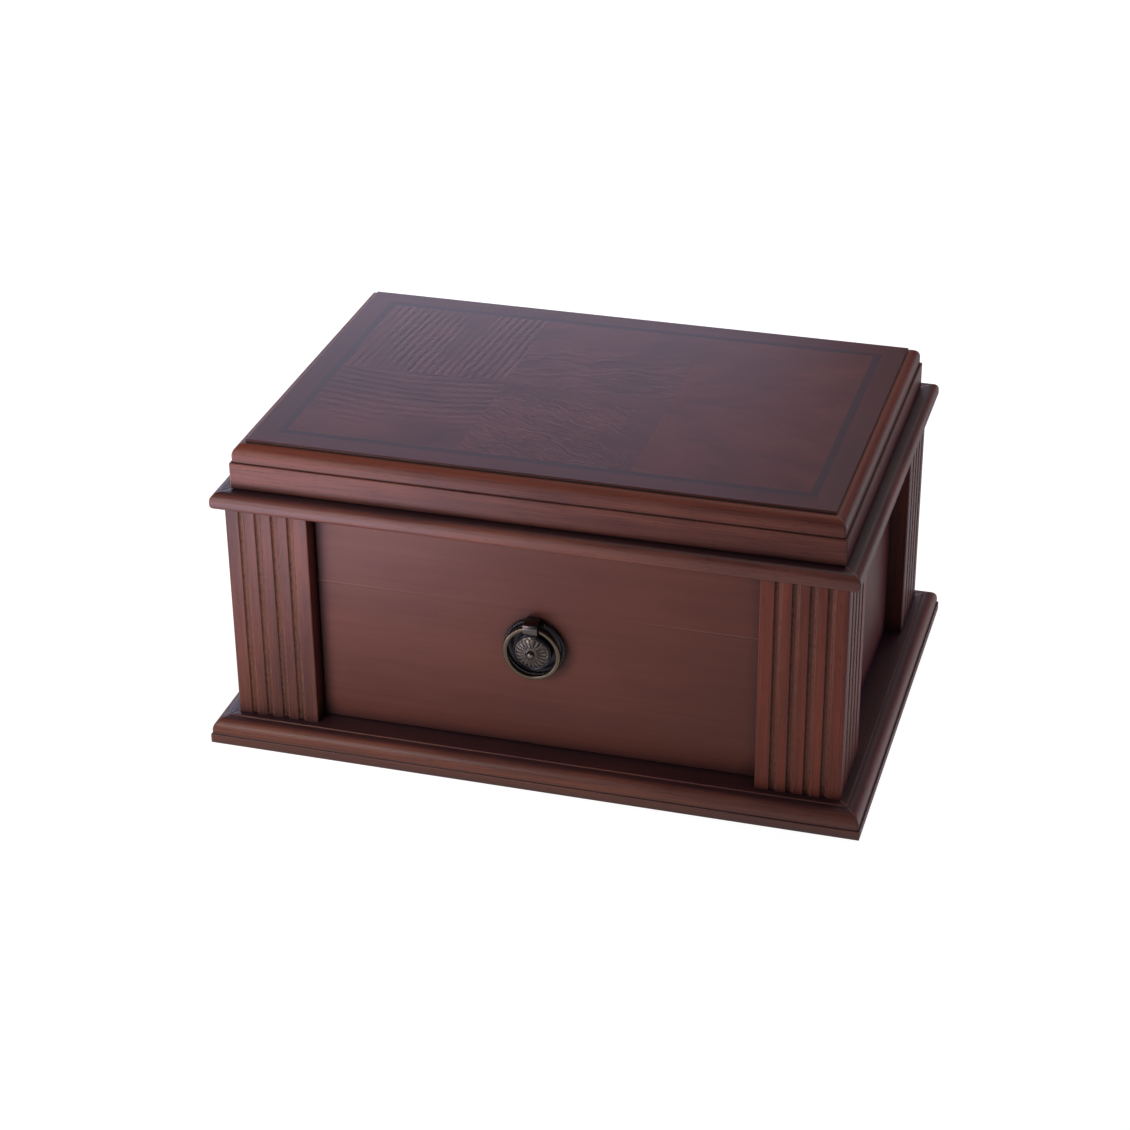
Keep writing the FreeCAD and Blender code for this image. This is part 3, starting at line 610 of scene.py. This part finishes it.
def soft_box(name, place, target, size, watts, colour, spread=180):
    data = bpy.data.lights.new(name, "AREA")
    data.shape = "RECTANGLE"
    data.size, data.size_y = size
    data.energy = watts
    data.color = tone(colour)[:3]
    data.spread = math.radians(spread)
    lamp = bpy.data.objects.new(name, data)
    aim = (Vector(target) - Vector(place)).to_track_quat("-Z", "Y")
    lamp.matrix_world = Matrix.Translation(place) @ aim.to_matrix().to_4x4()
    bpy.context.scene.collection.objects.link(lamp)


def make_floor():
    bm = bmesh.new()
    bmesh.ops.create_grid(bm, x_segments=1, y_segments=1, size=FLOOR_HALF)
    mesh = bpy.data.meshes.new("studio_floor")
    bm.to_mesh(mesh)
    bm.free()
    floor = bpy.data.objects.new("studio_floor", mesh)
    bpy.context.scene.collection.objects.link(floor)
    material, tree, _ = new_finish("white_paper_sweep")
    # The paper is lifted to white where it is seen, and lights the chest only as plain paper does
    seen = add(tree, "LightPath", {}).node.outputs
    rays = ("Is Camera Ray", "Is Glossy Ray", "Is Transmission Ray")
    lift = weigh(tree, *[(seen[ray], FLOOR_LIFT) for ray in rays])
    paper = add(tree, "BsdfDiffuse", {"Color": tone(FLOOR_TONE)})
    glow = add(tree, "Emission", {"Color": tone(FLOOR_GLOW), "Strength": lift})
    add(tree, "OutputMaterial", {"Surface": add(tree, "AddShader", {0: paper, 1: glow})})
    mesh.materials.append(material)


def make_world():
    world = bpy.data.worlds.new("studio")
    world.use_nodes = True
    tree = world.node_tree
    tree.nodes.clear()
    direction = add(tree, "TexCoord", {}, "Generated")
    height = add(tree, "SeparateXYZ", {0: direction}, "Z")
    rise = add(tree, "MapRange", {VALUE: height, FROM_LOW: 0.0, FROM_HIGH: WALL_RISE}, **SOFT_STEP)
    walls = add(tree, "Mix", {SHARE: rise, UNDER: tone(WALL_LOW), OVER: tone(WALL_HIGH)}, MIXED, **COLOUR)
    light = add(tree, "Background", {"Color": walls, "Strength": 1.0})
    add(tree, "OutputWorld", {"Surface": light})
    bpy.context.scene.world = world


# Finishes of the CAD nodes, as a deep and a warm stain
STAIN = ("#5C2F29", "#884D3C")
# A lighter copy of the moulding stain for the base, painted to stand for more light at the foot of the chest
LIT_BASE_STAIN = ("#66352C", "#965640")
POST_STAIN = ("#542B24", "#804739")
# A warmer copy of the post stain for the front right post, painted to stand for warm light on it
WARM_LIT_POST_STAIN = ("#672F24", "#994D3A")
PANEL_STAIN = ("#67382E", "#784438")
BORDER_STAIN = ("#502721", "#622F28")
INLAY_STAIN = ("#3E2220", "#482726")
VENEER_STAIN = ("#522823", "#6C372E")
RED_VENEER_STAIN = ("#562821", "#6D352A")
CORE_STAIN = ("#2C1A17", "#38211C")
INNER_WOOD = ("#94694A", "#B48C68")
# Rails whose thin stain along the top also paints a highlight there
RUBBED_AND_HIGHLIT_RAILS = ("front", "right")

for sides, axis in ((("front", "back"), "X"), (("left", "right"), "Y")):
    along = "_" + axis.lower()
    # Mouldings get painted shade on their ledges
    moulding = stained_wood("stained_moulding_wood" + along, axis, STAIN, pores=0.5, rub_and_highlight=1.0, sheen=0.36,
                            extra=ledge_painted_shade)
    # Front and right rails: the stain rubbed thin along the top also paints a highlight there
    rail = stained_wood("rubbed_and_highlit_rail_wood" + along, axis, STAIN, pores=0.5, rub_and_highlight=1.0, sheen=0.22,
                        extra=thin_stain_and_highlight)
    # The base gets the lighter copy of the stain, which paints more light on it, and painted shade on its
    # ledges
    base = stained_wood("lit_copy_base_wood" + along, axis, LIT_BASE_STAIN, pores=0.5, rub_and_highlight=1.0, sheen=0.4,
                        extra=ledge_painted_shade)
    plain_rail = stained_wood("stained_rail_wood" + along, axis, STAIN, pores=0.5, rub_and_highlight=0.15, sheen=0.12)
    for side in sides:
        dress(base, "base_moulding_" + side)
        dress(moulding, "waist_moulding_" + side)
        dress(rail if side in RUBBED_AND_HIGHLIT_RAILS else plain_rail, "lid_rail_" + side)
# The front right post gets the warmer copy of the stain, which paints warm light on it
for name, stains, posts in (
        ("stained_post_wood", POST_STAIN, ("front_left", "back_left", "back_right")),
        ("warm_lit_copy_post_wood", WARM_LIT_POST_STAIN, ("front_right",))):
    post_wood = stained_wood(name, "Z", stains, pores=0.5, rub_and_highlight=0.7, sheen=0.26, extra=flute_rub)
    dress(post_wood, *["corner_post_" + post for post in posts])
dress(stained_wood("stained_drawer_front_wood", "X", PANEL_STAIN, pores=0.12, rub_and_highlight=0.8, sheen=0.23,
                   extra=board_seam), "drawer_front")
dress(stained_wood("stained_back_panel_wood", "X", PANEL_STAIN, pores=0.12, rub_and_highlight=0.5, sheen=0.3), "back_panel")
dress(stained_wood("stained_side_panel_wood", "Y", PANEL_STAIN, pores=0.12, rub_and_highlight=0.5, sheen=0.3),
      "side_panel_left", "side_panel_right")
for name, stains, node in (
        ("stained_border_veneer", BORDER_STAIN, "border_veneer"),
        ("ebonised_inlay_strip", INLAY_STAIN, "inlay_lines")):
    dress(stained_wood(name, "X", stains, pores=0.2, rub_and_highlight=0.0, sheen=0.15, lay=mitred), node)
FIELD = {
    "row2_col1": dict(turn=86, spacing=5.6, bow=0.0, wander=0.9, curl=36, ripple=0.58, reach=0.0),
    "row1_col1": dict(turn=0, spacing=8.0, bow=-0.0003, wander=1.2, curl=36, ripple=0.32, reach=0.009),
    "row2_col2": dict(turn=8, spacing=12.0, bow=0.0, wander=5.0, curl=36, ripple=0.3, reach=-0.007),
    "row1_col2": dict(turn=-30, spacing=16.0, bow=0.0004, wander=7.0, curl=34, ripple=0.34, reach=-0.003),
    "row2_col3": dict(turn=20, spacing=14.0, bow=0.0, wander=1.6, curl=36, ripple=0.1, reach=0.0),
    "row1_col3": dict(turn=-25, spacing=12.0, bow=0.0, wander=1.6, curl=36, ripple=0.12, reach=0.0),
}
for sheet, figure in FIELD.items():
    node = "field_veneer_" + sheet
    stains = RED_VENEER_STAIN if sheet.endswith("col3") else VENEER_STAIN
    dress(figured_veneer("brushed_veneer_" + sheet, node, stains=stains, **figure), node)
dress(inner_wood("stained_core_board", "X", CORE_STAIN), "lid_core_board")
dress(inner_wood("sealed_inner_wood_x", "X", INNER_WOOD), "bottom_board", "tray_apron", "tray_floor",
      "drawer_inner_front", "drawer_back", "drawer_bottom")
dress(inner_wood("sealed_inner_wood_y", "Y", INNER_WOOD), "tray_cleat_left", "tray_cleat_right",
      "drawer_guide_left", "drawer_guide_right", "drawer_side_left", "drawer_side_right")
hinge_brass = rolled_metal("rolled_hinge_brass", "#8C6E36", "#C2A05A", "X")
for side in ("left", "right"):
    dress(hinge_brass, "hinge_leaf_body_" + side, "hinge_leaf_lid_" + side, "hinge_pin_" + side)
dress(hinge_brass, "hinge_screws_body", "hinge_screws_lid")
dress(rolled_metal("zinc_plated_steel", "#7E8084", "#B4B6BA", "Y"),
      "pull_bolt", "pull_washer", "drawer_screws")

# Pieces made here
# The backplate's face is painted very dark, as painted shade and painted dark reflection under the ring and
# rosette; its pale rope ridges also paint glints
make_backplate(antique_brass("shade_painted_cast_brass", "#2A272A", rub_and_highlight=0.8))
make_rosette(antique_brass("chased_cast_brass", "#645A54", rub_and_highlight=1.0, crown=10.8))
make_strap(antique_brass("rolled_antique_brass", "#4A4240", rub_and_highlight=0.6))
make_ring(antique_brass("rubbed_antique_brass", "#54483C", rub_and_highlight=1.0))
felt = pressed_felt("pressed_wine_felt")
make_lining("tray_lining", "tray_felt", "chest", felt)
make_lining("drawer_lining", "drawer_felt", "drawer", felt)

make_camera()
make_floor()
make_world()
soft_box("front_left_box", place=(-0.42, -0.75, 0.34), target=(-0.15, -0.14, 0.13), size=(0.36, 0.3),
         watts=0.54, colour="#F8F7FA", spread=80)
soft_box("low_left_card", place=(-0.31, -0.49, 0.01), target=(-0.31, -0.49, 1.0), size=(0.36, 0.3),
         watts=2.9, colour="#DDE3FF")
soft_box("back_window", place=(-0.85, 1.5, 0.6), target=(0, 0, 0.2), size=(1.5, 0.4),
         watts=12, colour="#D2D4F4")
soft_box("overhead_box", place=(0.1, 0.35, 1.5), target=(0.05, 0.1, 0.2), size=(0.9, 0.9),
         watts=5.0, colour="#FFF6F0")
soft_box("cool_right_card", place=(0.8, 0.1, 0.1), target=(0.2, 0.02, 0.1), size=(0.5, 0.18),
         watts=0.85, colour="#8890FF")
soft_box("back_fill", place=(0.3, 1.4, 1.3), target=(0.05, 0, 0.2), size=(0.7, 0.7),
         watts=2.0, colour="#FFF6F0")

bpy.context.scene.view_settings.view_transform = "Standard"
